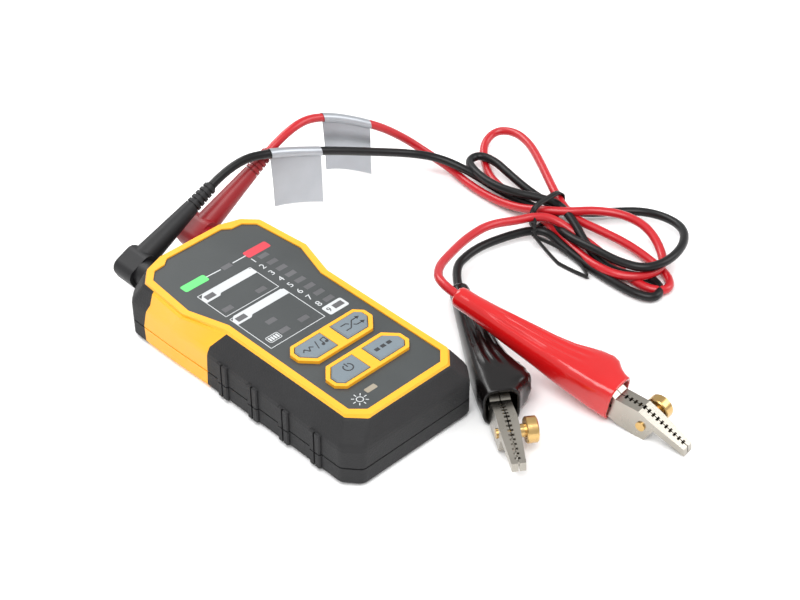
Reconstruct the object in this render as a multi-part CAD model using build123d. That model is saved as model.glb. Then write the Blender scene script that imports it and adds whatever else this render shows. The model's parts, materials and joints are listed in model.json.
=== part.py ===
from build123d import *
import os
from math import cos, radians, sin, tan

# A tone generator with its pair of clip leads, lying on a table.
# Millimetres, +Z up. The origin is under the middle of the toner's case, on the table.
# +Y points to the socket end of the case, +X to its right.

os.makedirs("parts", exist_ok=True)

# ---------------------------------------------------------------- driving dimensions
CASE_LENGTH = 129.0
CASE_WIDTH = 66.0
HALF_LENGTH = CASE_LENGTH / 2
HALF_WIDTH = CASE_WIDTH / 2
PARTING_Z = 8.3
BEVEL_Z = 18.0
FACE_Z = 26.7
RING_Z = 27.3
RUBBER = 1.6
CORNER = 3.6
BRIM_CORNER = 2.0
FLOOR = 2.2
LID_UNDERSIDE_Z = 24.4
LABEL_SEAT_Z = 26.2

PAD_Z = 27.9
BUTTON_Z = 28.5
BUTTON_TRAVEL = 0.6
FLANGE = 0.8

BOARD_Z = 20.2
BOARD = 1.2

JACK_X = 16.0
JACK_Z = 14.4
PLUG_Y = 78.9
PLUG_TRAVEL = 18.0
HANDLE_REACH = 45.0
BLACK_TILT = 25.0
RED_TILT = 28.0

CABLE = 3.7

BOOT_LENGTH = 75.0

# Right half of each outline, from the socket end down; the left half is its mirror image.
CASE_HALF = [(19.0, 64.5), (28.0, 64.2), (33.0, 59.5), (33.0, 36.0), (32.3, 14.0),
             (32.3, -58.0), (27.0, -64.5)]
RING_HALF = [(14.8, 63.0), (23.6, 60.0), (28.9, 54.2), (31.0, 29.0), (25.7, 11.3),
             (25.7, -53.9), (19.3, -60.2)]
FACE_HALF = [(13.8, 60.3), (16.9, 57.8), (22.0, 57.4), (26.2, 53.1), (28.3, 29.2),
             (23.0, 11.9), (23.0, -52.8), (18.2, -57.5)]
UPPER_PAD = [(15.6, -13.8), (18.6, -17.2), (18.6, -21.6), (13.5, -27.2)]
LOWER_PAD = [(13.8, -31.0), (18.6, -36.3), (18.6, -41.0), (15.5, -44.2)]
UPPER_BUTTON = [(2.6, -15.5), (14.8, -15.5), (16.8, -17.7), (16.8, -20.6), (12.7, -25.2),
                (2.6, -25.2)]
LOWER_BUTTON = [(2.6, -32.8), (12.7, -32.8), (16.8, -37.2), (16.8, -40.2), (14.8, -42.4),
                (2.6, -42.4)]
GROOVE_YS = [5.6 - 17.0 * step for step in range(4)]

# Middle of each light window on the face.
WIRE_WINDOWS = [(14.8, 36.0 - 5.35 * step) for step in range(9)]
OTHER_WINDOWS = [(0.0, 40.6), (-16.5, 30.8), (0.0, 20.4), (-16.5, 20.4), (-16.5, 12.6),
                 (-9.6, 3.6), (-9.6, -3.8), (0.0, -3.8)]
LAMP_WINDOW = (-9.4, -49.9)
WINDOW = (4.5, 2.6)


# ---------------------------------------------------------------- helpers
def whole(half):
    """Close a right-half outline with its mirror image."""
    return half + [(-x, y) for x, y in reversed(half)]


CASE_OUTLINE = whole(CASE_HALF)
RING_OUTLINE = whole(RING_HALF)
FACE_OUTLINE = whole(FACE_HALF)


def mirrored(points):
    return [(-x, y) for x, y in reversed(points)]


def inset(outline, depth):
    """Draw an outline in by about depth on every side."""
    return [(x * (1 - depth / HALF_WIDTH), y * (1 - depth / HALF_LENGTH)) for x, y in outline]


def flat(points, z, radius=0.0):
    """A face with this outline at height z, its corners rounded by radius."""
    face = make_face(Polyline(*[(x, y, 0) for x, y in points], close=True))
    if radius:
        face = fillet(face.vertices(), radius)
    return Pos(0, 0, z) * face


def prism(points, bottom, top, radius=0.0):
    return extrude(flat(points, bottom, radius), top - bottom, dir=(0, 0, 1))


def block(low, high):
    size = [b - a for a, b in zip(low, high)]
    middle = [(a + b) / 2 for a, b in zip(low, high)]
    return Pos(*middle) * Box(*size)


def rod(start, end, radius):
    """A round bar from one point to another."""
    start, end = Vector(*start), Vector(*end)
    plane = Plane(origin=start, z_dir=end - start)
    return extrude(plane * Circle(radius), (end - start).length)


def cone_rod(start, end, radius_start, radius_end):
    """A round bar that tapers from one point to another."""
    start, end = Vector(*start), Vector(*end)
    near = Plane(origin=start, z_dir=end - start)
    far = Plane(origin=end, z_dir=end - start)
    return loft([near * Circle(radius_start), far * Circle(radius_end)])


def side_plate(points, left, right):
    """A plate with this outline in X and Z, from Y = left to Y = right."""
    face = make_face(Polyline(*[(x, left, z) for x, z in points], close=True))
    return extrude(face, right - left, dir=(0, 1, 0))


def save(name, shapes):
    """Write every solid of these shapes to one STEP file."""
    solids = [solid for shape in shapes for solid in shape.solids()]
    export_step(solids[0] if len(solids) == 1 else Compound(children=solids),
                "parts/" + name + ".step")
    return solids


# ---------------------------------------------------------------- the case
def between(low, high, share):
    """An outline part of the way from one outline to another with as many points."""
    return [(a[0] + (b[0] - a[0]) * share, a[1] + (b[1] - a[1]) * share) for a, b in zip(low, high)]


def case_envelope():
    """The whole outside of the case, rubber included, with its edges eased by short steps."""
    shoulder = [(x * 1.035, y * 1.012) for x, y in RING_OUTLINE]
    brim = [(x * 1.02, y * 1.004) for x, y in RING_OUTLINE]
    levels = [(0, inset(CASE_OUTLINE, 1.6), CORNER), (0.6, inset(CASE_OUTLINE, 0.7), CORNER),
              (1.8, CASE_OUTLINE, CORNER), (BEVEL_Z - 2.0, CASE_OUTLINE, CORNER),
              (BEVEL_Z - 0.4, between(CASE_OUTLINE, shoulder, 0.05), CORNER),
              (BEVEL_Z + 1.2, between(CASE_OUTLINE, shoulder, 0.19), CORNER),
              (FACE_Z - 1.3, between(CASE_OUTLINE, shoulder, 0.93), BRIM_CORNER),
              (FACE_Z - 0.5, brim, BRIM_CORNER)]
    stack = [loft([flat(a, low, low_corner), flat(b, high, high_corner)], ruled=True)
             for (low, a, low_corner), (high, b, high_corner) in zip(levels, levels[1:])]
    return stack[0] + stack[1:]


def parting_groove():
    """The line all round the case where its front and rear halves meet."""
    return (block((-60, -80, PARTING_Z - 0.3), (60, 80, PARTING_Z + 0.3))
            - prism(inset(CASE_OUTLINE, 0.55), PARTING_Z - 1, PARTING_Z + 1, CORNER))


def hard_core():
    """The hard plastic inside the rubber, up to the raised ring round the face."""
    inner = inset(CASE_OUTLINE, RUBBER)
    wall = prism(inner, 0, BEVEL_Z - 1.4, 2.0)
    bevel = loft([flat(inner, BEVEL_Z - 1.4, 2.0), flat(RING_OUTLINE, RING_Z, 1.6)], ruled=True)
    return wall + bevel


def zone(points):
    """Everything between two boundary lines on the case's flanks, given in Y and Z."""
    face = make_face(Polyline(*[(-60, y, z) for y, z in points], close=True))
    return extrude(face, 120, dir=(1, 0, 0))


CAP_EDGE = [(52.0, -1), (52.4, 9), (50.3, 17), (48.2, 21), (48.2, 40)]
GRIP_EDGE = [(15.8, -1), (14.4, 20), (9.0, 27), (9.0, 40)]


def cavity():
    lower = prism(whole([(16.0, 60.0), (26.0, 59.6), (29.2, 56.5), (29.2, -55.5), (24.5, -60.5)]),
                  FLOOR, 17.0, 1.5)
    upper = prism(whole([(13.0, 58.6), (21.0, 56.6), (23.6, 51.0), (23.0, -51.0), (17.0, -56.5)]),
                  17.0, LID_UNDERSIDE_Z, 1.5)
    return lower + upper


def grip_ribs():
    """The raised bands on the grips, one round each groove."""
    bands = []
    for side in (-1, 1):
        for y in GROOVE_YS:
            band = Pos(side * (HALF_WIDTH - 0.85), y, 9.6) * Box(2.4, 5.6, 15.6)
            bands.append(chamfer(band.edges().filter_by(Axis.Z), 0.5))
    return bands


def grip_grooves():
    """The narrow slots down the middle of the bands and over the bevel above them."""
    right = [(32.3, 0.8), (35.0, 0.8), (35.0, 18.4), (29.8, 24.8), (28.4, 23.8), (32.3, 17.6)]
    slots = []
    for outline in (right, [(-x, z) for x, z in right]):
        face = make_face(Polyline(*[(x, -0.4, z) for x, z in outline], close=True))
        slot = extrude(face, 0.8, dir=(0, 1, 0))
        slots += [Pos(0, y, 0) * slot for y in GROOVE_YS]
    return slots


def window_cuts(size, bottom, top):
    cuts = [block((x - size[0] / 2, y - size[1] / 2, bottom), (x + size[0] / 2, y + size[1] / 2, top))
            for x, y in WIRE_WINDOWS + OTHER_WINDOWS + [LAMP_WINDOW]]
    return cuts


def button_outlines():
    """Name and outline of each of the four buttons."""
    return {"tone_button": mirrored(UPPER_BUTTON), "sweep_button": UPPER_BUTTON,
            "power_button": mirrored(LOWER_BUTTON), "mode_button": LOWER_BUTTON}


def grown(points, amount):
    """Offset a closed outline outwards."""
    face = flat(points, 0)
    return offset(face, amount, kind=Kind.INTERSECTION)


PORT_LOW = (-8.1, 36.0, 6.7)
PORT_HIGH = (8.1, 66.0, BOARD_Z - 0.1)
DOOR_OUTLINE = [(15.5, -3.5), (15.5, -57.5)]
SCREW_SEATS = [(26.0, 47.0), (26.0, -30.0)]


def port_and_jack_holes():
    holes = [block((-8.2, 56, 6.6), (8.2, 70, BOARD_Z))]
    for side in (-1, 1):
        holes.append(rod((side * JACK_X, 55, JACK_Z), (side * JACK_X, 70, JACK_Z), 5.8))
    return holes


def build_covers():
    core = hard_core()
    envelope = case_envelope()
    waist = zone(CAP_EDGE + list(reversed(GRIP_EDGE)))
    cap_zone = zone(CAP_EDGE + [(80, 40), (80, -1)])
    grip_zone = zone(GRIP_EDGE + [(-80, 40), (-80, -1)])
    above = block((-60, -80, PARTING_Z), (60, 80, 50))
    below = block((-60, -80, -5), (60, 80, PARTING_Z))
    port_holes = port_and_jack_holes()

    yellow = core + (envelope & waist)
    yellow = yellow - cavity() - port_holes - parting_groove()
    rubber = envelope - core

    front = yellow & above
    pocket = prism(FACE_OUTLINE, LABEL_SEAT_Z, 40, 0.8)
    front = front - pocket
    for pad in (UPPER_PAD, LOWER_PAD):
        front = front + prism(whole(pad), LABEL_SEAT_Z - 0.5, PAD_Z, 0.8)
    for outline in button_outlines().values():
        front = front - extrude(grown(outline, 0.3), 40, dir=(0, 0, 1))
    front = front - window_cuts((3.4, 1.8), 22, 40)
    bosses = [rod((s * x, y, PARTING_Z - 4.0), (s * x, y, 18.0), 2.9)
              for x, y in SCREW_SEATS for s in (-1, 1)]
    pilots = [rod((s * x, y, 0), (s * x, y, 16.0), 1.35) for x, y in SCREW_SEATS for s in (-1, 1)]
    front = (front + bosses) - pilots

    rear = yellow & below
    door_space = prism(whole(DOOR_OUTLINE), -1, FLOOR + 1, 2.0)
    rear = rear - door_space
    towers = [rod((s * x, y, 0.6), (s * x, y, PARTING_Z - 4.0), 3.2)
              for x, y in SCREW_SEATS for s in (-1, 1)]
    heads = [rod((s * x, y, -1), (s * x, y, 2.4), 2.6) for x, y in SCREW_SEATS for s in (-1, 1)]
    shanks = [rod((s * x, y, -1), (s * x, y, 9), 1.6) for x, y in SCREW_SEATS for s in (-1, 1)]
    rear = (rear + towers) - heads - shanks
    save("front_cover", [front])
    save("rear_cover", [rear])

    groove = parting_groove()
    caps = (rubber & cap_zone) - port_holes - groove
    save("front_end_cap", [caps & above])
    save("rear_end_cap", [caps & below])
    sleeve = ((envelope + grip_ribs()) - core) & grip_zone
    sleeve = sleeve - grip_grooves() - groove
    save("front_grip", [sleeve & above])
    save("rear_grip", [sleeve & below])


def build_face():
    """The printed face label and the small windows set into it."""
    label = prism(FACE_OUTLINE, LABEL_SEAT_Z, FACE_Z, 0.8)
    for pad in (UPPER_PAD, LOWER_PAD):
        label = label - extrude(grown(whole(pad), 0.15), 40, dir=(0, 0, 1))
    label = label - window_cuts(WINDOW, 20, 40)
    save("face_label", [label])
    save("light_windows", window_cuts(WINDOW, LABEL_SEAT_Z, FACE_Z - 0.05))


def build_buttons():
    for name, outline in button_outlines().items():
        cap = extrude(flat(outline, LID_UNDERSIDE_Z - 0.1), BUTTON_Z - LID_UNDERSIDE_Z + 0.1, dir=(0, 0, 1))
        cap = chamfer(cap.edges().group_by(Axis.Z)[-1], 0.5)
        skirt = extrude(Pos(0, 0, LID_UNDERSIDE_Z - 0.1) * grown(outline, 1.0), -FLANGE, dir=(0, 0, 1))
        middle = skirt.center()
        foot = rod((middle.X, middle.Y, LID_UNDERSIDE_Z - 1.2), (middle.X, middle.Y, LID_UNDERSIDE_Z - 0.5), 1.6)
        save(name, [cap + skirt + foot])


# ---------------------------------------------------------------- inside the case
def build_electronics():
    board = prism(whole([(12.0, 57.6), (20.0, 55.6), (22.4, 50.0), (22.0, -50.0), (16.0, -55.0)]),
                  BOARD_Z, BOARD_Z + BOARD)
    save("circuit_board", [board])
    top = BOARD_Z + BOARD
    switches = []
    for outline in button_outlines().values():
        middle = flat(outline, 0).center()
        body = block((middle.X - 2.2, middle.Y - 2.2, top), (middle.X + 2.2, middle.Y + 2.2, top + 0.9))
        switches.append(body + rod((middle.X, middle.Y, top + 0.9), (middle.X, middle.Y, top + 1.1), 1.2))
    save("tact_switches", switches)
    lamps = [block((x - 0.8, y - 0.4, top), (x + 0.8, y + 0.4, top + 0.7))
             for x, y in WIRE_WINDOWS + OTHER_WINDOWS]
    save("status_leds", lamps)
    x, y = LAMP_WINDOW
    dome = rod((x, y, top), (x, y, top + 0.8), 1.5) + rod((x, y, top + 0.8), (x, y, top + 1.8), 1.0)
    save("work_light_led", [dome])
    save("controller_chip", [block((-12, 18, BOARD_Z - 1.2), (-3, 27, BOARD_Z))])
    buzzer = rod((10, 24, BOARD_Z - 5.5), (10, 24, BOARD_Z), 6.0)
    buzzer = buzzer - rod((10, 24, BOARD_Z - 6), (10, 24, BOARD_Z - 4), 1.0)
    save("buzzer", [buzzer])


def build_battery():
    low, high = (-13.2, -55.0, FLOOR + 0.1), (13.2, -8.6, FLOOR + 17.5)
    cell = chamfer(block(low, high).edges().filter_by(Axis.Y), 1.5)
    for x, radius in ((-6.35, 2.9), (6.35, 3.7)):
        cell = cell + rod((x, -8.6, 10.9), (x, -6.4, 10.9), radius)
    save("battery_9v", [cell])
    save("battery_contacts", [block((-13, -6.3, 4.6), (13, -4.6, 17.2))
                              + block((-9, -4.6, 9), (9, -3.2, BOARD_Z))])
    door = prism(whole([(15.2, -3.8), (15.2, -57.2)]), 0.2, FLOOR, 1.8)
    ribs = [block((-9, y - 0.5, 0.0), (9, y + 0.5, 0.3)) for y in (-20, -24, -28)]
    screw_y = -7.0
    door = (door - ribs) - rod((0, screw_y, -1), (0, screw_y, 1.3), 2.6)
    door = door - rod((0, screw_y, -1), (0, screw_y, 5), 1.3)
    save("battery_door", [door])
    screw = rod((0, screw_y, 0.3), (0, screw_y, 1.25), 2.3) + rod((0, screw_y, 1.25), (0, screw_y, 3.9), 1.0)
    screw = screw - block((-1.7, screw_y - 0.3, 0), (1.7, screw_y + 0.3, 0.8))
    screw = screw - block((-0.3, screw_y - 1.7, 0), (0.3, screw_y + 1.7, 0.8))
    save("door_screw", [screw])


def build_case_screws():
    screws = []
    for x, y in SCREW_SEATS:
        for side in (-1, 1):
            screw = rod((side * x, y, 0.6), (side * x, y, 2.3), 2.4) + rod((side * x, y, 2.3), (side * x, y, 12.5), 1.3)
            screw = screw - block((side * x - 1.6, y - 0.3, 0), (side * x + 1.6, y + 0.3, 1.4))
            screws.append(screw - block((side * x - 0.3, y - 1.6, 0), (side * x + 0.3, y + 1.6, 1.4)))
    save("case_screws", screws)


def build_sockets():
    """Two shrouded 4 mm sockets and the network socket between them."""
    for name, side in (("black", -1), ("red", 1)):
        x = side * JACK_X
        end = HALF_LENGTH - 0.2
        housing = rod((x, 42, JACK_Z), (x, end, JACK_Z), 5.7) - rod((x, 46, JACK_Z), (x, 70, JACK_Z), 5.2)
        housing = housing - rod((x, 40, JACK_Z), (x, 50, JACK_Z), 2.8)
        save(name + "_socket", [housing])
        contact = rod((x, 40, JACK_Z), (x, 61, JACK_Z), 2.75) - rod((x, 44, JACK_Z), (x, 70, JACK_Z), 2.05)
        save(name + "_socket_contact", [contact])
    port = block(PORT_LOW, (PORT_HIGH[0], HALF_LENGTH - 0.4, PORT_HIGH[2]))
    port = port - block((-5.9, 47, 9.6), (5.9, 70, 16.6)) - block((-3.1, 50, 16.4), (3.1, 70, 18.6))
    save("network_socket", [port])
    pins = [block((x - 0.2, 48.2, 9.7), (x + 0.2, 54, 10.5)) for x in [1.02 * (n - 3.5) for n in range(8)]]
    save("network_contacts", pins)


# ---------------------------------------------------------------- the plugs
def build_plug(name, x, tilt):
    """A right-angle 4 mm plug: head, tapered handle and ribbed strain relief."""
    out = Vector(cos(radians(tilt)), 0, sin(radians(tilt)))
    centre = Vector(x, PLUG_Y, JACK_Z)

    def at(reach):
        return tuple(centre + out * reach)

    frame = Plane(origin=centre, x_dir=out, z_dir=(0, 1, 0))
    head = extrude(frame * RectangleRounded(14.3, 10.8, 4.2), 5.9, both=True)
    head = fillet(head.edges().group_by(Axis.Y)[-1], 1.6)
    handle = cone_rod(at(4.0), at(33.5), 5.1, 3.2)
    relief = cone_rod(at(33.0), at(HANDLE_REACH), 2.5, 2.2)
    for ring in range(5):
        start = 34.2 + 2.2 * ring
        relief = relief + cone_rod(at(start), at(start + 1.3), 3.2 - 0.1 * ring, 3.15 - 0.1 * ring)
    neck = rod((x, HALF_LENGTH + 0.4, JACK_Z), (x, PLUG_Y - 4.0, JACK_Z), 5.4)
    shroud = rod((x, 47.2, JACK_Z), (x, HALF_LENGTH + 0.5, JACK_Z), 4.9)
    shroud = shroud - rod((x, 47, JACK_Z), (x, HALF_LENGTH, JACK_Z), 3.4)
    grip = head + handle + relief + neck + shroud
    grip = grip - rod((x, 60, JACK_Z), (x, PLUG_Y, JACK_Z), 2.0)
    save(name + "_plug", [grip])
    pin = rod((x, 47.6, JACK_Z), (x, PLUG_Y, JACK_Z), 2.0)
    save(name + "_plug_pin", [chamfer(pin.edges().group_by(Axis.Y)[0], 0.6)])
    return at(HANDLE_REACH + 0.3), at(HANDLE_REACH + 14.0)


# ---------------------------------------------------------------- the clips
# One clip lies along its own +X, nose forward and bent down, and its jaws open to the sides.
# Each section of the boot: distance forward, its left and right edges in Y, half its height,
# and its corner as a share of its smaller side.
BOOT_SECTIONS = [(0.0, -4.3, 4.3, 4.3, 0.46), (14.0, -4.8, 4.8, 4.9, 0.46), (42.0, -6.5, 8.0, 6.3, 0.44),
                 (50.0, -7.0, 9.6, 6.9, 0.36), (64.0, -7.0, 14.0, 7.6, 0.26), (75.0, -6.2, 7.8, 8.0, 0.24)]
BOOT_WALL = 1.2
PLATE = 0.8
JAW_OUT = 3.9
JAW_GAP = 0.2
PIVOT = (66.0, 0.0)
EAR = (63.4, 68.6)
SCREW_X, SCREW_Z = 88.5, -0.8
NOSE_X = 91.0
TIP_OUT = 2.4
TOOTH_XS = [78.0 + 2.0 * step for step in range(14)]
NOSE_PROFILE = [(75, -6.0), (80, -7.0), (91, -6.9), (93.6, 0.2), (107.4, -3.2), (106.6, -0.2), (86, 5.0),
                (76, 3.9), (72, 5.5)]


def boot_form(shrink):
    """The sleeve's outer form, or with shrink its hollow, which starts further forward."""
    sections = []
    for x, left, right, half, corner in BOOT_SECTIONS:
        if shrink and x == 0:
            x = 10.0
        if shrink and x == BOOT_LENGTH:
            x = BOOT_LENGTH + 0.5
        wide, tall = right - left - 2 * shrink, 2 * (half - shrink)
        plane = Plane(origin=(x, (left + right) / 2, 0), x_dir=(0, 1, 0), z_dir=(1, 0, 0))
        sections.append(plane * RectangleRounded(wide, tall, min(wide, tall) * corner))
    return loft(sections, ruled=True)


def spot(place, x, y, z):
    """Where a point of the clip lands."""
    return tuple((place * Pos(x, y, z)).position)


def upright_pin(low, high, radius):
    """A bar through the pivot from one height to another."""
    return rod((PIVOT[0], PIVOT[1], low), (PIVOT[0], PIVOT[1], high), radius)


def cross_bar(left, right, radius):
    """A bar along the thumb screw's axis."""
    return rod((SCREW_X, left, SCREW_Z), (SCREW_X, right, SCREW_Z), radius)


def tray(profile, side):
    """A pressed jaw: an outer plate that draws in along the nose, with a toothed rim that faces the other jaw."""
    outer, lip, tip = side * JAW_OUT, side * JAW_GAP, side * TIP_OUT
    shell = side_plate(profile, min(outer, lip), max(outer, lip))
    face = make_face(Polyline(*[(x, 0, z) for x, z in profile], close=True))
    hollow = Pos(0, lip, 0) * offset(face, -PLATE, kind=Kind.INTERSECTION)
    rim = shell - extrude(hollow, JAW_OUT - PLATE - JAW_GAP, dir=(0, side, 0))
    room = prism([(50, lip), (50, outer), (NOSE_X, outer), (110, tip), (110, lip)], -15, 15)
    inner, inner_tip = side * (JAW_OUT - PLATE), side * (TIP_OUT - PLATE)
    cheek = prism([(NOSE_X - 1, outer), (NOSE_X, outer), (110, tip), (110, inner_tip), (NOSE_X - 1, inner)], -15, 15)
    notches = [block((x, min(0, side * 1.1), -15), (x + 0.9, max(0, side * 1.1), 15)) for x in TOOTH_XS]
    return ((rim & room) - notches) + (cheek & shell)


def strip(points, half):
    """A lever bent from strip, drawn from above and half tall to each side of the middle."""
    return prism(points, -half, half)


def build_clip(name, place):
    """Boot, two jaws, pin, spring, nail bed and thumb screw, put where place says."""
    boot = boot_form(0) - boot_form(BOOT_WALL)
    boot = boot - rod((-2.0, 0, 0), (12.0, 0, 0), CABLE / 2 + 0.1)

    fixed = tray([(60, -5.5)] + NOSE_PROFILE + [(60, 5.5)], -1)
    fixed = fixed + strip([(60.5, -3.9), (42, -3.6), (20, -2.6), (20, -1.8), (42, -2.8), (60.5, -3.1)], 2.4)
    moving = tray([(70, -5.8)] + NOSE_PROFILE + [(70, 5.5)], 1)
    moving = moving + block((60, 3.1, -4.6), (71, 3.9, 4.6))
    moving = moving + strip([(60.5, 3.9), (56, 6.6), (50, 7.4), (38, 5.4), (38, 4.6), (50, 6.6), (56, 5.7),
                             (60.5, 3.1)], 2.6)
    for side in (-1, 1):
        ear = block((EAR[0], -3.5, 4.7), (EAR[1], 2.0, 5.5))
        lug = block((EAR[0], -2.2, 3.8), (EAR[1], 3.5, 4.6))
        fixed = fixed + (ear if side > 0 else mirror(ear, Plane.XY))
        moving = moving + (lug if side > 0 else mirror(lug, Plane.XY))
    fixed = fixed - upright_pin(-9, 9, 1.2) - upright_pin(5.5, 9, 2.2) - upright_pin(-9, -5.5, 2.2)
    fixed = fixed - cross_bar(-5, -3, 1.3)
    fixed = fixed - rod((74.4, -5, -0.5), (74.4, -3, -0.5), 0.9)
    moving = moving - upright_pin(-9, 9, 1.25) - cross_bar(3, 5, 1.26)

    pin = upright_pin(-5.5, 5.5, 1.2) + upright_pin(5.5, 6.2, 2.0) + upright_pin(-6.2, -5.5, 2.0)
    coil = upright_pin(-2.6, 2.6, 2.2) - upright_pin(-3, 3, 1.2)
    coil = coil + block((61.0, -3.1, -0.4), (66.0, -2.3, 0.4)) + block((64.6, -3.1, -0.4), (66.0, -1.4, 0.4))
    nails = block((79.5, -3.1, -2.4), (90.2, -2.4, 1.0)) + cross_bar(-3.9, -2.6, 1.3) + cross_bar(-4.5, -3.9, 1.9)
    for step in range(4):
        for z in (-1.4, 0.4):
            x = 80.2 + 1.3 * step
            nails = nails + cone_rod((x, -2.5, z), (x, -0.6, z), 0.45, 0.1)
    knob = chamfer(cross_bar(6.4, 10.8, 5.0).edges(), 0.4) + cross_bar(4.0, 6.5, 2.5) + cross_bar(-1.8, 4.1, 1.2)

    pieces = {"_clip_boot": boot, "_clip_fixed_jaw": fixed, "_clip_moving_jaw": moving,
              "_clip_pivot_pin": pin, "_clip_spring": coil, "_clip_nail_bed": nails,
              "_clip_thumb_screw": knob}
    for suffix, shape in pieces.items():
        save(name + suffix, [place * shape])
    middle = Vector(*spot(place, 0, 0, 0))
    up, across = [Vector(*spot(place, *step)) - middle for step in ((0, 0, 1), (0, 1, 0))]
    print(name, "pivot", rounded(spot(place, *PIVOT, 0)), "axis", rounded(up))
    print(name, "screw", rounded(spot(place, SCREW_X, 0, SCREW_Z)), "axis", rounded(across))


def rounded(values):
    return [round(value, 5) for value in values]


# ---------------------------------------------------------------- the leads
def cable_path(points):
    """Straight runs joined by arcs as large as the runs allow."""
    corners = [Vector(*point) for point in points]
    radii = []
    for before, corner, after in zip(corners, corners[1:], corners[2:]):
        run_in, run_out = corner - before, after - corner
        turn = run_in.get_angle(run_out)
        radii.append(0.45 * min(run_in.length, run_out.length) / tan(radians(turn / 2)))
    return FilletPolyline(*corners, radius=radii), radii


def build_cable(name, points):
    path, radii = cable_path(points)
    tube = sweep(Plane(origin=path @ 0, z_dir=path % 0) * Circle(CABLE / 2), path=path)
    section = 3.14159265 * (CABLE / 2) ** 2
    print(name, "length", round(path.length, 1), "volume ratio", round(tube.volume / section / path.length, 4),
          "radii", [round(r, 1) for r in radii])
    save(name, [tube])


def build_hank():
    """The outer shape of the leads' tied bow."""
    left = prism([(139.5, 6.0), (146.0, 6.0), (159.0, 18.0), (169.0, 33.0), (172.0, 46.0), (167.0, 53.5),
                  (159.0, 52.0), (149.0, 44.0), (139.5, 28.0)], 0.1, 11.0)
    right = prism([(128.0, -14.0), (146.0, -14.0), (158.0, -18.0), (171.0, -27.0), (174.0, -42.0),
                   (166.0, -56.0), (150.0, -64.0), (142.0, -71.0), (127.0, -71.0), (121.0, -58.0),
                   (122.0, -42.0)], 0.1, 11.0)
    neck = block((129.0, -14.5, 1.7), (146.0, 7.0, 12.0))
    save("lead_hank", [left + right + neck])
    tie = block((127.8, -4.5, 0.3), (147.2, -2.7, 13.2)) - block((129.0, -9, 1.7), (146.0, 7, 12.0))
    save("twist_tie", [tie])


def build_tag(name, start, end):
    """A foil flag that hangs from a lead between two points on the lead's middle line."""
    drop, gap = 24.0, CABLE / 2 + 0.9
    corners = [start, end]
    outline = [(x, y, z - gap) for x, y, z in corners] + [(x, y, z - gap - drop) for x, y, z in reversed(corners)]
    face = make_face(Polyline(*outline, close=True))
    save(name, [extrude(face, 0.3, both=True)])


BLACK_OUT = [(54.5, 73.6, 38.4), (80.0, 68.6, 29.5), (103.0, 66.6, 19.0), (121.0, 63.0, 11.6),
             (131.0, 54.5, 8.8), (136.6, 41.0, 5.4), (136.8, 24.0, 3.8)]
RED_OUT = [(85.0, 79.4, 40.0), (109.0, 72.0, 28.0), (124.0, 68.6, 15.6), (133.0, 62.0, 5.8),
           (135.4, 50.0, 2.4), (132.6, 38.0, 2.2), (131.8, 22.0, 2.4)]
RED_END = [(119.0, -3.0, 10.6), (106.5, 1.5, 12.6), (91.0, -1.0, 15.0), (77.7, -5.7, 17.6), (64.0, -11.0, 20.0)]
BLACK_END = [(119.5, -5.6, 4.6), (108.0, 0.0, 4.2), (96.0, 1.2, 4.2)]
HANK_IN_Y = 7.5
HANK_OUT_X = 128.2
LEAD_IN = {"black": 14.0, "red": 9.0}
SLEEVE_IN = 6.0
CLIP_PLACES = {"black": Pos(74.0, -13.5, 4.6) * Rot(0, 0, -124.5) * Rot(0, -2.7, 0),
               "red": Pos(56.0, -29.5, 20.9) * Rot(0, 0, -83.0) * Rot(0, 9.4, 0)}


def main():
    build_covers()
    build_face()
    build_buttons()
    build_electronics()
    build_battery()
    build_case_screws()
    build_sockets()
    black_exit, black_next = build_plug("black", -JACK_X, BLACK_TILT)
    red_exit, red_next = build_plug("red", JACK_X, RED_TILT)
    sleeve_runs = {}
    for name, place in CLIP_PLACES.items():
        build_clip(name, place)
        sleeve_runs[name] = [spot(place, -LEAD_IN[name], 0, 0), spot(place, SLEEVE_IN, 0, 0)]

    build_cable("black_cable_out", [black_exit, black_next] + BLACK_OUT + [(136.4, HANK_IN_Y, 4.0)])
    build_cable("red_cable_out", [red_exit, red_next] + RED_OUT + [(131.6, HANK_IN_Y, 4.0)])
    build_cable("black_cable_end", [(HANK_OUT_X, -9.5, 5.0)] + BLACK_END + sleeve_runs["black"])
    build_cable("red_cable_end", [(HANK_OUT_X, -7.0, 9.4)] + RED_END + sleeve_runs["red"])
    build_hank()
    build_tag("black_tag", (55.0, 73.5, 37.4), (80.5, 68.5, 29.0))
    build_tag("red_tag", (84.5, 79.6, 38.6), (108.5, 72.1, 27.4))


main()
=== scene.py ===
"""The looks of a tone generator with its two clip leads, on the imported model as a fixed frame."""
import bpy
import json
from math import cos, pi, radians, sin
from mathutils import Matrix, Vector


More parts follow.
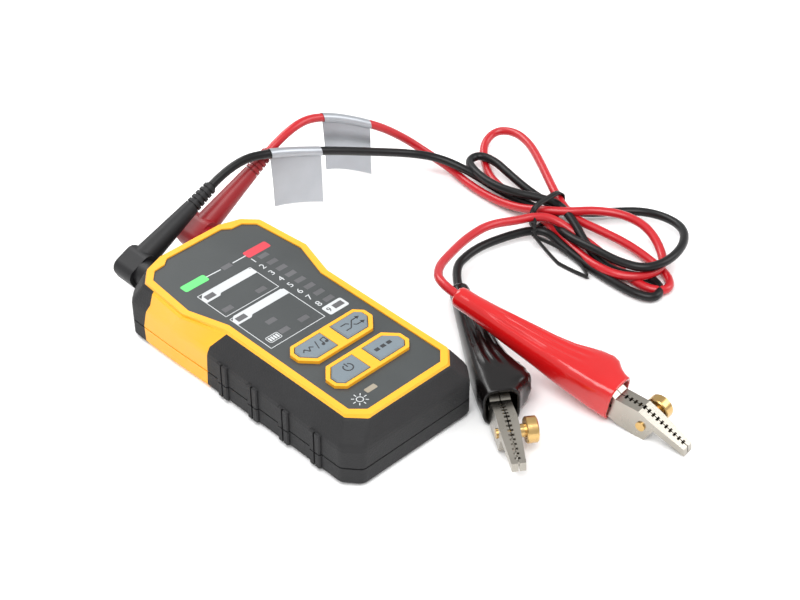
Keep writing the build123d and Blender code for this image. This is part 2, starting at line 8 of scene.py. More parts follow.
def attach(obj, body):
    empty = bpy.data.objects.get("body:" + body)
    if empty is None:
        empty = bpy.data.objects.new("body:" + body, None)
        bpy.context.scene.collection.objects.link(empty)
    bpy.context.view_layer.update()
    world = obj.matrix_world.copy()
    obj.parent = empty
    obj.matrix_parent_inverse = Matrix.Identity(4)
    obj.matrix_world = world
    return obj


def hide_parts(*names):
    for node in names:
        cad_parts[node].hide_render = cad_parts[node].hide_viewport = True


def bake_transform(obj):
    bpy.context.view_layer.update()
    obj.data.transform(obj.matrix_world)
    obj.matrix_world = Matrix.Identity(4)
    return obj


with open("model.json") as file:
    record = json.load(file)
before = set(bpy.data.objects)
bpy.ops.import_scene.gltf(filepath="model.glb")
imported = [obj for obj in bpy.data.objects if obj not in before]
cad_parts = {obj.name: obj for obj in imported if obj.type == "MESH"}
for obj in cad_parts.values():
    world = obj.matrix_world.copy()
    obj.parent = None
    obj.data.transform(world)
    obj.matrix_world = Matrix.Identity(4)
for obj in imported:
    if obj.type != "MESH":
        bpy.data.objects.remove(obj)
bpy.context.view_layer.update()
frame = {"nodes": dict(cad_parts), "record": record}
nodes = frame["nodes"]

MM = 0.001
FACE_Z = 26.7
BUTTON_TOP = 28.5
LEAD = 3.7
BOOT_LENGTH = 75.0
ROW_TOP = 36.0
ROW_STEP = 5.35
FINE_SCALE = 500.0


# ---------------------------------------------------------------- camera
def make_camera():
    azimuth, elevation = radians(-44.44), radians(38.629)
    back = Vector((sin(azimuth) * cos(elevation), -cos(azimuth) * cos(elevation), sin(elevation)))
    right = Vector((cos(azimuth), sin(azimuth), 0))
    up = back.cross(right)
    camera = bpy.data.objects.new("camera", bpy.data.cameras.new("camera"))
    camera.data.lens = 81.0
    camera.data.sensor_width = 36.0
    camera.data.clip_start = 0.01
    camera.matrix_world = Matrix.Translation((-0.3389, -0.4008, 0.4515)) @ Matrix(
        (right, up, back)).transposed().to_4x4()
    bpy.context.scene.collection.objects.link(camera)
    bpy.context.scene.camera = camera


# ---------------------------------------------------------------- shaders
def shader(name, color, rough, metallic=0.0, coat=0.0, grain=900.0, bump=0.15, vary=0.12, depth=0.0001,
           spread=0.08, smudge=60.0, shine=0.5):
    """A surface with fine grain, slow colour change and uneven gloss."""
    mat = bpy.data.materials.new(name)
    mat.use_nodes = True
    tree = mat.node_tree
    bsdf = tree.nodes["Principled BSDF"]
    bsdf.inputs["Metallic"].default_value = metallic
    bsdf.inputs["Coat Weight"].default_value = coat
    bsdf.inputs["Coat Roughness"].default_value = 0.12
    bsdf.inputs["Specular IOR Level"].default_value = shine
    where = tree.nodes.new("ShaderNodeTexCoord").outputs["Object"]

    slow = tree.nodes.new("ShaderNodeTexNoise")
    slow.inputs["Scale"].default_value = smudge
    slow.inputs["Detail"].default_value = 5.0
    tree.links.new(where, slow.inputs["Vector"])
    ramp = tree.nodes.new("ShaderNodeValToRGB")
    ramp.color_ramp.elements[0].position = 0.3
    ramp.color_ramp.elements[1].position = 0.7
    ramp.color_ramp.elements[0].color = [c * (1 - vary) for c in color] + [1]
    ramp.color_ramp.elements[1].color = [min(1.0, c * (1 + vary)) for c in color] + [1]
    tree.links.new(slow.outputs["Fac"], ramp.inputs["Fac"])
    tree.links.new(ramp.outputs["Color"], bsdf.inputs["Base Color"])

    gloss = tree.nodes.new("ShaderNodeMapRange")
    gloss.inputs["To Min"].default_value = rough - spread
    gloss.inputs["To Max"].default_value = rough + spread
    tree.links.new(slow.outputs["Fac"], gloss.inputs["Value"])
    tree.links.new(gloss.outputs["Result"], bsdf.inputs["Roughness"])

    fine = tree.nodes.new("ShaderNodeTexNoise")
    fine.inputs["Scale"].default_value = grain
    fine.inputs["Detail"].default_value = 3.0
    tree.links.new(where, fine.inputs["Vector"])
    relief = tree.nodes.new("ShaderNodeBump")
    relief.inputs["Strength"].default_value = bump
    relief.inputs["Distance"].default_value = depth
    tree.links.new(fine.outputs["Fac"], relief.inputs["Height"])
    tree.links.new(relief.outputs["Normal"], bsdf.inputs["Normal"])
    return mat


def brushed(name, color, rough, stretch):
    """Plated metal with fine drawn lines across one direction."""
    mat = shader(name, color, rough, metallic=1.0, grain=FINE_SCALE, bump=0.25, vary=0.1, depth=0.00005,
                 spread=0.1)
    tree = mat.node_tree
    grains = [n for n in tree.nodes if n.type == "TEX_NOISE"]
    fine = [n for n in grains if n.inputs["Scale"].default_value == FINE_SCALE][0]
    mapping = tree.nodes.new("ShaderNodeMapping")
    mapping.inputs["Scale"].default_value = stretch
    where = [n for n in tree.nodes if n.type == "TEX_COORD"][0]
    tree.links.new(where.outputs["Object"], mapping.inputs["Vector"])
    tree.links.new(mapping.outputs["Vector"], fine.inputs["Vector"])
    return mat


def all_materials():
    return {
        "yellow_plastic": shader("yellow_plastic", (0.86, 0.39, 0.016), 0.42, grain=1400, bump=0.25,
                                 vary=0.03),
        "black_rubber": shader("black_rubber", (0.016, 0.016, 0.017), 0.66, grain=1500, bump=0.9, vary=0.18,
                               depth=0.0002, shine=0.35),
        "face_plastic": shader("face_plastic", (0.042, 0.047, 0.048), 0.4, grain=2200, bump=0.15, vary=0.06),
        "window_plastic": shader("window_plastic", (0.095, 0.095, 0.1), 0.3, grain=2500, bump=0.1),
        "lamp_lens": shader("lamp_lens", (0.30, 0.26, 0.20), 0.28, grain=2500, bump=0.1),
        "button_rubber": shader("button_rubber", (0.15, 0.185, 0.21), 0.48, grain=1800, bump=0.3, vary=0.05),
        "circuit_laminate": shader("circuit_laminate", (0.03, 0.2, 0.08), 0.4, grain=700),
        "black_moulding": shader("black_moulding", (0.022, 0.022, 0.024), 0.4, grain=1400),
        "red_moulding": shader("red_moulding", (0.5, 0.015, 0.02), 0.35, grain=1400),
        "led_resin": shader("led_resin", (0.75, 0.78, 0.7), 0.2, grain=500),
        "battery_wrap": shader("battery_wrap", (0.1, 0.11, 0.13), 0.3, grain=400),
        "gold_contacts": shader("gold_contacts", (0.9, 0.62, 0.25), 0.25, metallic=1.0),
        "steel": brushed("steel", (0.6, 0.6, 0.6), 0.3, (1, 1, 8)),
        "door_plastic": shader("door_plastic", (0.04, 0.04, 0.043), 0.5, grain=1200, bump=0.4),
        "black_plug_plastic": shader("black_plug_plastic", (0.010, 0.010, 0.011), 0.5, grain=1500, bump=0.3,
                                     shine=0.35),
        "red_plug_plastic": shader("red_plug_plastic", (0.26, 0.004, 0.008), 0.4, grain=1500, bump=0.2,
                                   vary=0.06),
        "red_lead_skin": shader("red_lead_skin", (0.45, 0.004, 0.010), 0.34, grain=1000, bump=0.12, vary=0.05,
                                coat=0.2),
        "black_lead_skin": shader("black_lead_skin", (0.004, 0.004, 0.0045), 0.36, grain=1000, bump=0.12,
                                  shine=0.3),
        "tie_plastic": shader("tie_plastic", (0.004, 0.004, 0.004), 0.45, grain=600, bump=0.4, shine=0.3),
        "tag_foil": shader("tag_foil", (0.40, 0.42, 0.45), 0.36, metallic=0.6, grain=500, bump=0.12,
                           vary=0.06, smudge=90.0),
        "black_boot_vinyl": shader("black_boot_vinyl", (0.003, 0.0022, 0.0022), 0.2, grain=350, bump=0.12,
                                   spread=0.05, shine=0.35),
        "red_boot_vinyl": shader("red_boot_vinyl", (0.52, 0.005, 0.006), 0.18, coat=0.45, grain=350,
                                 bump=0.12, vary=0.05),
        "clip_steel": brushed("clip_steel", (0.40, 0.375, 0.33), 0.27, (1, 1, 7)),
        "spring_steel": brushed("spring_steel", (0.4, 0.4, 0.42), 0.3, (4, 4, 1)),
        "clip_brass": shader("clip_brass", (0.60, 0.40, 0.16), 0.26, metallic=1.0, grain=900, bump=0.2),
        "ink_green": shader("ink_green", (0.12, 0.66, 0.17), 0.4, grain=2000, bump=0.1, vary=0.04),
        "ink_red": shader("ink_red", (0.56, 0.04, 0.06), 0.4, grain=2000, bump=0.1, vary=0.04),
        "ink_white": shader("ink_white", (0.52, 0.54, 0.55), 0.45, grain=2000, bump=0.1, vary=0.04),
        "ink_dark": shader("ink_dark", (0.025, 0.027, 0.03), 0.45, grain=2000, bump=0.1, vary=0.04),
    }


# ---------------------------------------------------------------- mesh helpers
def new_object(name, mesh, mat, body="toner", smooth=False):
    piece = bpy.data.objects.new(name, mesh)
    bpy.context.scene.collection.objects.link(piece)
    mesh.materials.append(materials[mat])
    for polygon in mesh.polygons:
        polygon.use_smooth = smooth
    if body:
        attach(piece, body)
    return piece


def from_lists(name, verts, faces):
    mesh = bpy.data.meshes.new(name)
    mesh.from_pydata(verts, [], faces)
    mesh.update()
    return mesh


def slab(shapes, low, high):
    """Flat shapes given as outlines in millimetres, extruded from low to high."""
    verts, faces = [], []
    for shape in shapes:
        start, count = len(verts), len(shape)
        verts += [(x * MM, y * MM, low * MM) for x, y in shape]
        verts += [(x * MM, y * MM, high * MM) for x, y in shape]
        faces.append([start + count + i for i in range(count)])
        faces.append([start + i for i in reversed(range(count))])
        for i in range(count):
            j = (i + 1) % count
            faces.append([start + i, start + j, start + count + j, start + count + i])
    return verts, faces


def line(start, end, width=0.35):
    """The outline of one straight printed stroke."""
    a, b = Vector(start), Vector(end)
    side = Vector((-(b - a).y, (b - a).x)).normalized() * width / 2
    return [tuple(a - side), tuple(b - side), tuple(b + side), tuple(a + side)]


def path_lines(points, width=0.35, close=False):
    ends = points[1:] + ([points[0]] if close else [])
    return [line(a, b, width) for a, b in zip(points, ends)]


def disc(centre, radius, steps=24):
    return [(centre[0] + radius * cos(2 * pi * i / steps), centre[1] + radius * sin(2 * pi * i / steps))
            for i in range(steps)]


def arc(centre, radius, start, end, steps=16):
    return [(centre[0] + radius * cos(radians(start + (end - start) * i / steps)),
             centre[1] + radius * sin(radians(start + (end - start) * i / steps))) for i in range(steps + 1)]


def box_shape(x0, y0, x1, y1):
    return [(x0, y0), (x1, y0), (x1, y1), (x0, y1)]


def rounded_box(x0, y0, x1, y1, radius):
    corners = [((x1 - radius, y1 - radius), 0), ((x0 + radius, y1 - radius), 90),
               ((x0 + radius, y0 + radius), 180), ((x1 - radius, y0 + radius), 270)]
    return [point for centre, turn in corners for point in arc(centre, radius, turn, turn + 90, 5)]


# ---------------------------------------------------------------- the leads
BLACK_PATH = [(25.06, 78.9, 33.57), (37.75, 78.9, 39.49), (54.5, 73.6, 38.4), (80.0, 68.6, 29.5),
              (103.0, 66.6, 19.0), (121.0, 63.0, 11.6), (131.0, 54.5, 8.8), (136.6, 41.0, 5.4),
              (136.8, 24.0, 3.8), (138.0, 7.0, 4.2), (138.4, -4.0, 4.2), (134.0, -13.5, 4.2),
              (130.6, -24.0, 6.2), (129.8, -36.0, 8.0), (130.0, -49.0, 8.2), (133.6, -60.0, 8.6),
              (144.0, -63.6, 9.0), (157.0, -61.0, 8.6), (167.5, -53.5, 7.4), (171.5, -42.0, 5.4),
              (169.5, -30.0, 3.8), (162.0, -21.5, 3.0), (153.0, -14.0, 2.8), (144.6, -5.5, 4.2),
              (144.2, 5.0, 4.6), (144.4, 14.0, 5.4), (147.0, 27.0, 5.8), (149.6, 37.5, 6.0),
              (148.4, 46.5, 5.8), (141.4, 46.6, 5.6), (136.6, 37.5, 6.8), (134.2, 26.0, 7.4),
              (135.6, 14.0, 8.0), (140.2, 3.0, 8.6), (142.6, -6.0, 8.6), (139.0, -17.0, 7.6),
              (132.6, -30.0, 5.0), (129.0, -44.0, 2.6), (133.0, -54.0, 2.4), (137.8, -61.0, 2.4),
              (134.6, -68.2, 2.3), (128.2, -70.2, 2.3), (124.8, -63.0, 2.3), (124.4, -50.0, 2.3),
              (125.6, -34.0, 2.3), (128.0, -20.0, 2.6), (129.4, -10.5, 4.0), (123.0, -5.4, 4.6),
              (108.0, 0.0, 4.2), (96.0, 1.2, 4.2), (81.9, -1.97, 3.94), (70.6, -18.4, 4.9)]
RED_PATH = [(55.74, 78.9, 35.56), (68.0, 78.9, 42.1), (85.0, 79.4, 40.0), (109.0, 72.0, 28.0),
            (124.0, 68.6, 15.6), (133.0, 62.0, 5.8), (135.4, 50.0, 2.4), (132.6, 38.0, 2.2),
            (131.8, 22.0, 2.4), (132.6, 8.0, 4.4), (134.4, -4.0, 8.6), (141.0, -12.6, 8.9),
            (150.0, -20.0, 9.0), (156.4, -31.0, 9.0), (156.6, -44.0, 8.2), (150.0, -57.0, 4.4),
            (141.5, -61.8, 4.6), (132.8, -59.6, 4.8), (126.6, -52.0, 4.6), (125.4, -41.0, 4.4),
            (128.8, -29.0, 2.6), (133.0, -16.0, 2.4), (134.6, -4.0, 4.2), (138.6, 8.0, 2.6),
            (139.8, 20.0, 2.2), (142.2, 33.0, 2.2), (149.6, 44.0, 2.2), (157.0, 52.0, 4.6),
            (166.4, 53.4, 7.0), (170.2, 45.0, 8.6), (166.8, 33.0, 9.4), (159.4, 20.5, 9.8),
            (151.4, 8.0, 9.8), (144.8, -3.2, 8.9), (142.6, -14.0, 5.4), (145.0, -27.0, 4.6),
            (147.2, -40.0, 3.4), (146.6, -53.0, 2.3), (143.0, -66.0, 2.3), (136.0, -71.0, 2.3),
            (130.4, -64.0, 2.3), (132.0, -50.0, 2.3), (136.0, -36.0, 2.3), (137.0, -22.0, 3.4),
            (133.6, -10.5, 8.4), (127.4, -5.2, 9.6), (119.0, -3.0, 10.6), (106.5, 1.5, 12.6),
            (91.0, -1.0, 15.0), (77.7, -5.7, 17.6), (64.0, -11.0, 20.0), (54.9, -20.7, 22.4),
            (56.7, -35.4, 19.9)]


def make_lead(name, route, stands_for):
    """A lead as a mesh tube along its route; the route's middle points are returned."""
    curve = bpy.data.curves.new(name + "_route", "CURVE")
    curve.dimensions = "3D"
    curve.resolution_u = 8
    spline = curve.splines.new("NURBS")
    spline.points.add(len(route) - 1)
    for point, where in zip(spline.points, route):
        point.co = (*[v * MM for v in where], 1)
    spline.order_u = 3
    spline.use_endpoint_u = True
    guide = bpy.data.objects.new(name + "_route", curve)
    bpy.context.scene.collection.objects.link(guide)
    middle = [v.co.copy() for v in bpy.data.meshes.new_from_object(guide).vertices]
    curve.bevel_depth = LEAD / 2 * MM
    curve.bevel_resolution = 5
    tube = bpy.data.meshes.new_from_object(guide)
    bpy.data.objects.remove(guide)
    tube.materials.clear()
    piece = new_object(name + "_lead", tube, name + "_lead_skin", body=None, smooth=True)
    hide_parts(*stands_for)
    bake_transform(piece)
    return middle


# ---------------------------------------------------------------- the clips' boots
# Rear end of each boot, and the way it points: yaw and pitch in degrees.
CLIP_PLACES = {"black": ((74.0, -13.5, 4.6), -124.5, -2.7), "red": ((56.0, -29.5, 20.9), -83.0, 9.4)}


def clip_place(name):
    rear, yaw, pitch = CLIP_PLACES[name]
    return (Matrix.Translation([v * MM for v in rear]) @ Matrix.Rotation(radians(yaw), 4, "Z")
            @ Matrix.Rotation(radians(pitch), 4, "Y"))


# Distance forward, left and right edge, half height, and the section's squareness.
BOOT_STATIONS = [(0.0, -3.4, 3.4, 3.4, 2.0), (0.8, -4.1, 4.1, 4.1, 2.0), (2.0, -4.3, 4.3, 4.3, 2.0),
                 (7.0, -4.4, 4.4, 4.4, 2.0), (14.0, -4.8, 4.8, 4.9, 2.1), (22.0, -5.3, 5.7, 5.3, 2.2),
                 (32.0, -5.9, 6.9, 5.8, 2.4), (42.0, -6.4, 8.0, 6.3, 2.6), (50.0, -6.9, 9.5, 6.9, 2.9),
                 (55.0, -7.0, 11.4, 7.2, 3.2), (59.5, -7.0, 13.0, 7.4, 3.4), (64.0, -7.0, 13.9, 7.6, 3.6),
                 (67.0, -6.9, 13.0, 7.7, 3.8), (70.0, -6.6, 10.0, 7.8, 3.8), (73.0, -6.4, 8.2, 7.9, 3.8),
                 (75.0, -6.2, 7.8, 8.0, 3.8)]


def boot_at(distance):
    for a, b in zip(BOOT_STATIONS, BOOT_STATIONS[1:]):
        if a[0] <= distance <= b[0]:
            t = (distance - a[0]) / (b[0] - a[0])
            return [p + (q - p) * t for p, q in zip(a[1:], b[1:])]
    return BOOT_STATIONS[-1][1:]


def section_point(left, right, half, power, turn):
    c, s = cos(turn), sin(turn)
    reach = (abs(c) ** power + abs(s) ** power) ** (-1 / power)
    middle = (left + right) / 2
    side = (right - left) / 2
    return middle + reach * c * side, reach * s * half


def make_boot(name):
    """A dipped vinyl boot with raised ribs on its top and bottom and a nubbed thumb pad on its flare."""
    rings, around = 96, 72
    verts, faces = [], []
    for i in range(rings + 1):
        x = BOOT_LENGTH * i / rings
        left, right, half, power = boot_at(x)
        for j in range(around):
            turn = 2 * pi * j / around
            y, z = section_point(left, right, half, power, turn)
            rib_zone = max(0.0, min(1.0, (x - 16) / 8)) * max(0.0, min(1.0, (60 - x) / 6))
            across = (y - (left + right) / 2) / ((right - left) / 2)
            if abs(z) > 0.72 * half and abs(across) < 0.62:
                z += 0.35 * rib_zone * cos(across * 5 * pi) * (1 if z > 0 else -1)
            pad = max(0.0, 1 - ((x - 59) / 9) ** 2 - (z / 5.4) ** 2)
            if y > 0.6 * right and pad > 0:
                nub = max(0.0, cos((x - 59) * 1.6)) * max(0.0, cos(z * 1.6))
                y += min(pad, 0.25) * 2.4 + (0.35 * nub if pad > 0.12 else 0)
            verts.append((x, y, z))
    for i in range(rings):
        for j in range(around):
            k = (j + 1) % around
            faces.append([i * around + j, i * around + k, (i + 1) * around + k, (i + 1) * around + j])
    faces.append([j for j in reversed(range(around))])
    inner = len(verts)
    for i, x in enumerate([75.0, 70.0, 60.0, 50.0]):
        left, right, half, power = boot_at(x)
        for j in range(around):
            y, z = section_point(left + 1.2, right - 1.2, half - 1.2, power, 2 * pi * j / around)
            verts.append((x - (0.0 if i else 0.1), y, z))
    for i in range(3):
        for j in range(around):
            k = (j + 1) % around
            a, b = inner + i * around, inner + (i + 1) * around
            faces.append([a + j, a + k, b + k, b + j])
    for j in range(around):
        k = (j + 1) % around
        faces.append([rings * around + j, rings * around + k, inner + k, inner + j])
    faces.append([inner + 3 * around + j for j in range(around)])
    place = clip_place(name)
    mesh = from_lists(name + "_boot", [tuple(place @ (Vector(v) * MM)) for v in verts], faces)
    piece = new_object(name + "_boot", mesh, name + "_boot_vinyl", smooth=True)
    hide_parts(name + "_clip_boot")
    return piece


# ---------------------------------------------------------------- face print
def digit_text(text, x, y, size, mat="ink_white", z=FACE_Z):
    curve = bpy.data.curves.new("mark_" + text, "FONT")
    curve.body = text
    curve.size = size * MM
    curve.align_x = "CENTER"
    curve.align_y = "CENTER"
    curve.extrude = 0.02 * MM
    piece = bpy.data.objects.new("mark_%s_%d_%d" % (text, round(x), round(y)), curve)
    piece.location = (x * MM, y * MM, (z + 0.03) * MM)
    bpy.context.scene.collection.objects.link(piece)
    curve.materials.append(materials[mat])
    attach(piece, "toner")


def print_on(name, shapes, mat, z=FACE_Z, body="toner", thick=0.05):
    verts, faces = slab(shapes, z - 0.02, z + thick)
    return new_object(name, from_lists(name, verts, faces), mat, body)


def make_face_print():
    print_on("mark_green", [rounded_box(-21.5, 38.8, -9.9, 43.0, 0.9)], "ink_green")
    print_on("mark_red", [rounded_box(9.6, 38.5, 21.1, 42.8, 0.9)], "ink_red")
    strokes = path_lines([(-9.9, 40.9), (-3.0, 40.6)], 0.5) + path_lines([(3.0, 40.6), (9.6, 40.6)], 0.5)
    for top, bottom, left, right in ((33.8, 17.0, -20.2, 6.0), (14.8, -8.6, -20.2, 6.4)):
        strokes += path_lines([(left, bottom), (right, bottom), (right, top), (left, top)], 0.3, close=True)
    print_on("mark_lines", strokes, "ink_white")
    tabs = [[(-20.2, y - 2.4), (-13.4, y - 2.4), (-12.2, y - 1.3), (right, y - 1.3), (right, y + 1.9),
             (right - 1, y + 2.8), (-18.0, y + 2.8), (-20.2, y + 0.6)]
            for y, right in ((30.8, 6.0), (12.6, 6.4))]
    print_on("mark_tabs", tabs, "ink_white", thick=0.06)
    print_on("tab_windows", [box_shape(-18.7, y - 1.3, -14.2, y + 1.3) for y in (30.8, 12.6)],
             "window_plastic", thick=0.12)
    pairs = [box_shape(-17.6 + 1.2 * i, -5.6, -16.8 + 1.2 * i, -3.4) for i in range(4)]
    frame_box = path_lines(rounded_box(-18.2, -6.2, -12.6, -2.8, 0.6), 0.3, close=True)
    print_on("mark_digital", pairs + frame_box, "ink_white")
    for step in range(8):
        digit_text(str(step + 1), 9.9, ROW_TOP - ROW_STEP * step, 4.3)
    print_on("mark_last_frame", [rounded_box(8.5, -9.6, 18.2, -4.1, 0.9)], "ink_white")
    print_on("mark_last_window", [box_shape(12.5, -8.1, 17.1, -5.5)], "window_plastic", thick=0.1)
    digit_text("9", 10.3, -6.9, 3.6, mat="ink_dark", z=FACE_Z + 0.05)


def make_button_marks():
    ring = arc((-8.6, -37.4), 1.9, 120, 420, 20)
    stem = path_lines([(-8.6, -37.2), (-8.6, -34.9)], 0.5)
    print_on("mark_power", path_lines(ring, 0.5) + stem, "ink_dark",
             z=BUTTON_TOP, body="power_key")
    bars = [box_shape(4.6 + 3.0 * i, -38.4, 6.6 + 3.0 * i, -36.8) for i in range(3)]
    print_on("mark_mode", bars, "ink_dark", z=BUTTON_TOP, body="mode_key")
    waves = path_lines([(-14.8, -20.4), (-13.6, -19.2), (-12.4, -21.4), (-11.2, -19.2), (-10.0, -20.4)], 0.45)
    notes = [disc((-6.2, -21.6), 0.7, 14), disc((-4.2, -21.2), 0.7, 14)]
    notes += path_lines([(-5.6, -21.6), (-5.6, -19.0), (-3.6, -18.6), (-3.6, -21.2)], 0.4)
    slash = path_lines([(-9.0, -22.4), (-7.6, -18.4)], 0.4)
    print_on("mark_tone", waves + notes + slash, "ink_dark", z=BUTTON_TOP,
             body="tone_key")
    arrows = path_lines([(5.0, -22.0), (7.4, -22.0), (10.4, -18.8), (13.0, -18.8)], 0.5)
    arrows += path_lines([(5.0, -18.8), (7.4, -18.8), (8.2, -19.8)], 0.5)
    arrows += path_lines([(9.4, -21.0), (10.4, -22.0), (13.0, -22.0)], 0.5)
    arrows += [[(12.6, -19.8), (14.2, -18.8), (12.6, -17.8)], [(12.6, -23.0), (14.2, -22.0), (12.6, -21.0)]]
    print_on("mark_sweep", arrows, "ink_dark", z=BUTTON_TOP, body="sweep_key")


def make_lamp_marks():
    x, y = -16.2, -51.5
    rays = path_lines(arc((x, y), 1.3, 0, 360, 16), 0.35)
    for turn in range(0, 360, 45):
        c, s = cos(radians(turn)), sin(radians(turn))
        rays += path_lines([(x + 2.0 * c, y + 2.0 * s), (x + 3.2 * c, y + 3.2 * s)], 0.35)
    print_on("mark_lamp", rays, "ink_white")
    verts, faces = slab([rounded_box(-11.9, -51.1, -6.9, -48.7, 0.5)], FACE_Z - 0.02, FACE_Z + 0.06)
    new_object("lamp_lens", from_lists("lamp_lens", verts, faces), "lamp_lens")


# ---------------------------------------------------------------- tags and tie
TAG_GAP = 0.16
TAG_SPANS = {"black": (52.5, 78.5), "red": (84.5, 108.0)}


def lead_stretch(middle, span, count):
    """Points along the first run of a lead between two X values, each with its sideways direction."""
    inside = []
    for point in [Vector(p) / MM for p in middle]:
        if point.x > span[1]:
            break
        if point.x >= span[0]:
            inside.append(point)
    line = []
    for i in range(count + 1):
        place = i / count * (len(inside) - 1)
        low = min(int(place), len(inside) - 2)
        base = inside[low].lerp(inside[low + 1], place - low)
        along = (inside[min(low + 3, len(inside) - 1)] - inside[max(low - 2, 0)]).normalized()
        line.append((base, along.cross(Vector((0, 0, 1))).normalized()))
    return line


def grid_faces(first, columns, rows):
    """Quads of a grid whose points are listed column by column."""
    faces = []
    for i in range(columns):
        for j in range(rows):
            corner = first + i * (rows + 1) + j
            faces.append([corner, corner + rows + 1, corner + rows + 2, corner + 1])
    return faces


def make_tag(color, middle, span, drop):
    """A foil flag folded over its lead: a loop round it, two faces pressed together below it."""
    columns, rows = 16, 12
    line = lead_stretch(middle, span, columns)
    turns = [radians(-75 + 330 * i / 24) for i in range(25)]
    verts, faces = [], []
    for sign in (1, -1):
        first = len(verts)
        for i, (base, side) in enumerate(line):
            u = i / columns
            for j in range(rows + 1):
                v = j / rows
                belly = 0.6 * sin(v * 2.6 + u * 2.0) + 2.1 * (u - 0.5) ** 2 * v + 0.06 * drop * v
                point = base + side * (belly + sign * TAG_GAP) + Vector((0, 0, -2.1 - drop * v))
                verts.append(tuple(point * MM))
        faces += [quad[::sign] for quad in grid_faces(first, columns, rows)]
    first = len(verts)
    for base, side in line:
        verts += [tuple((base + Vector((0, 0, cos(turn) * 2.15)) + side * sin(turn) * 2.15) * MM)
                  for turn in turns]
    faces += grid_faces(first, columns, len(turns) - 1)
    name = color + "_tag"
    piece = new_object(name + "_flag", from_lists(name, verts, faces), "tag_foil",
                       body=None, smooth=True)
    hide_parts(name)
    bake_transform(piece)


def ribbon(points, widths, width, thick):
    """A flat strip along a line; widths gives the direction it is broad in at each point."""
    verts, faces = [], []
    vectors = [Vector(p) for p in points]
    for i, p in enumerate(vectors):
        before, after = vectors[max(0, i - 1)], vectors[min(len(vectors) - 1, i + 1)]
        along = (after - before).normalized()
        across = widths[i]
        across = (across - along * across.dot(along)).normalized() * width / 2
        out = along.cross(across).normalized() * thick / 2
        verts += [tuple((p + s * across + t * out) * MM) for s, t in ((-1, -1), (1, -1), (1, 1), (-1, 1))]
    for i in range(len(vectors) - 1):
        for j in range(4):
            k = (j + 1) % 4
            faces.append([4 * i + j, 4 * i + k, 4 * i + 4 + k, 4 * i + 4 + j])
    faces += [[3, 2, 1, 0], [4 * len(vectors) - 4 + j for j in range(4)]]
    return verts, faces


def tie_piece(name, points, widths, width, thick):
    verts, faces = ribbon(points, widths, width, thick)
    return new_object(name, from_lists(name, verts, faces), "tie_plastic", smooth=True)


def make_tie():
    """A thin strip wound round the bundle, its ends twisted together and a loop left loose."""
    loop = []
    for i in range(49):
        turn = 2 * pi * i / 48
        x = 137.6 + 9.6 * (abs(cos(turn)) ** 0.5) * (1 if cos(turn) > 0 else -1)
        z = 6.9 + 6.2 * (abs(sin(turn)) ** 0.6) * (1 if sin(turn) > 0 else -1)
        loop.append((x, -3.6, z))
    band = tie_piece("tie_band", loop, [Vector((0, 1, 0))] * len(loop), 2.6, 0.5)
    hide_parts("twist_tie")

    steps = [i / 40 for i in range(41)]
    twist = [(128.6 - 8.5 * t, -4.0 - 8.0 * t, 10.5 - 3.5 * t) for t in steps]
    turning = [Vector((0, cos(5 * t * pi), sin(5 * t * pi))) for t in steps]
    tie_piece("tie_twist", twist, turning, 2.2, 0.9)

    out = [(120.1 - 1.5 * sin(t * pi), -12.0 - 30.0 * t, 7.0 - 5.4 * min(1.0, 2 * t)) for t in steps]
    back = [(120.1 + 5.5 * sin(t * pi), -12.0 - 30.0 * t, 6.6 - 4.6 * min(1.0, 2 * t)) for t in steps]
    tail = out + back[-2::-1]
    tie_piece("tie_tail", tail, [Vector((0, 0, 1))] * len(tail), 1.8, 0.5)


# ---------------------------------------------------------------- carried-over CAD pieces
# Width of the rounding on each piece's sharp edges.
SOFTENED = {"front_cover": 0.5, "rear_cover": 0.4, "front_end_cap": 0.8, "rear_end_cap": 0.6,
            "front_grip": 0.7, "rear_grip": 0.6, "black_plug": 0.3, "red_plug": 0.3, "battery_door": 0.2,
            "black_clip_thumb_screw": 0.25, "red_clip_thumb_screw": 0.25,
            "black_clip_fixed_jaw": 0.15, "red_clip_fixed_jaw": 0.15,
            "black_clip_moving_jaw": 0.15, "red_clip_moving_jaw": 0.15,
            "tone_button": 0.4, "sweep_button": 0.4, "power_button": 0.4, "mode_button": 0.4}


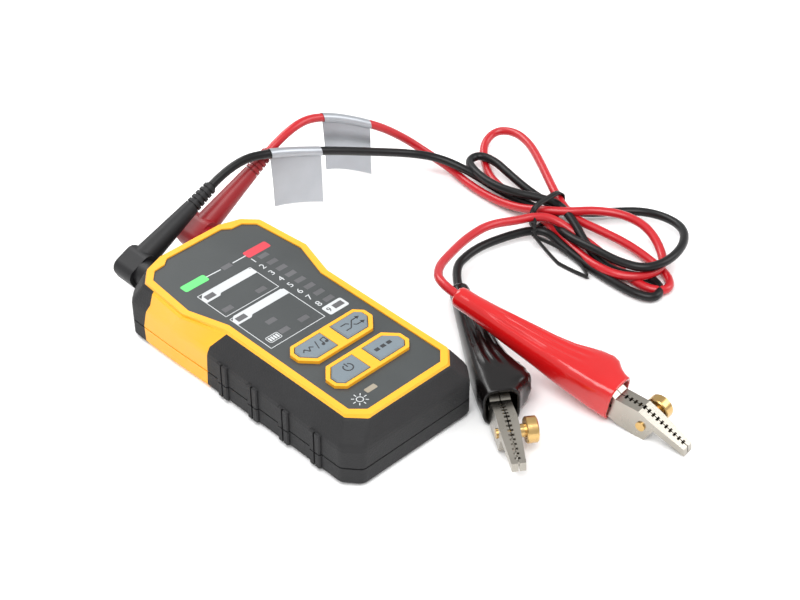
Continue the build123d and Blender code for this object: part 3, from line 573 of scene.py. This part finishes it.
def finish_cad_nodes():
    slots = {entry["node"]: entry["material_slot"] for entry in frame["record"]["subparts"]}
    for node, piece in nodes.items():
        mat = materials[slots[node]]
        if not piece.material_slots:
            piece.data.materials.append(mat)
        for place in piece.material_slots:
            place.material = mat
        if node in SOFTENED:
            bevel = piece.modifiers.new("soft_edges", "BEVEL")
            bevel.width = SOFTENED[node] * MM
            bevel.segments = 3
            bevel.limit_method = "ANGLE"
            bevel.angle_limit = radians(32)
            bevel.harden_normals = True


# ---------------------------------------------------------------- the setting
def make_setting():
    mesh = from_lists("floor", [(-3, -3, 0), (3, -3, 0), (3, 3, 0), (-3, 3, 0)], [[0, 1, 2, 3]])
    floor = bpy.data.objects.new("floor", mesh)
    floor.location.z = -0.0002
    bpy.context.scene.collection.objects.link(floor)
    mesh.materials.append(shader("floor", (0.93, 0.93, 0.93), 0.6, grain=40, bump=0.02, vary=0.01))
    for name, where, size, power in (("key", (-0.5, -0.3, 1.1), 0.9, 14), ("fill", (0.9, -0.7, 0.8), 0.8, 7),
                                     ("rim", (0.1, 1.0, 0.9), 0.7, 8)):
        light = bpy.data.objects.new(name, bpy.data.lights.new(name, "AREA"))
        light.data.size = size
        light.data.energy = power
        light.location = where
        light.rotation_euler = (Vector((0.06, -0.01, 0)) - Vector(where)).to_track_quat("-Z", "Y").to_euler()
        bpy.context.scene.collection.objects.link(light)
    world = bpy.data.worlds.new("studio")
    world.use_nodes = True
    world.node_tree.nodes["Background"].inputs["Color"].default_value = (1, 1, 1, 1)
    world.node_tree.nodes["Background"].inputs["Strength"].default_value = 0.7
    bpy.context.scene.world = world
    bpy.context.scene.view_settings.view_transform = "Standard"


make_camera()
materials = all_materials()
for color in ("black", "red"):
    make_boot(color)
    stands_for = [color + "_cable_out", color + "_cable_end"] + (["lead_hank"] if color == "red" else [])
    middle = make_lead(color, BLACK_PATH if color == "black" else RED_PATH, stands_for)
    make_tag(color, middle, TAG_SPANS[color], 23.0)
make_tie()
make_face_print()
make_button_marks()
make_lamp_marks()
finish_cad_nodes()
make_setting()
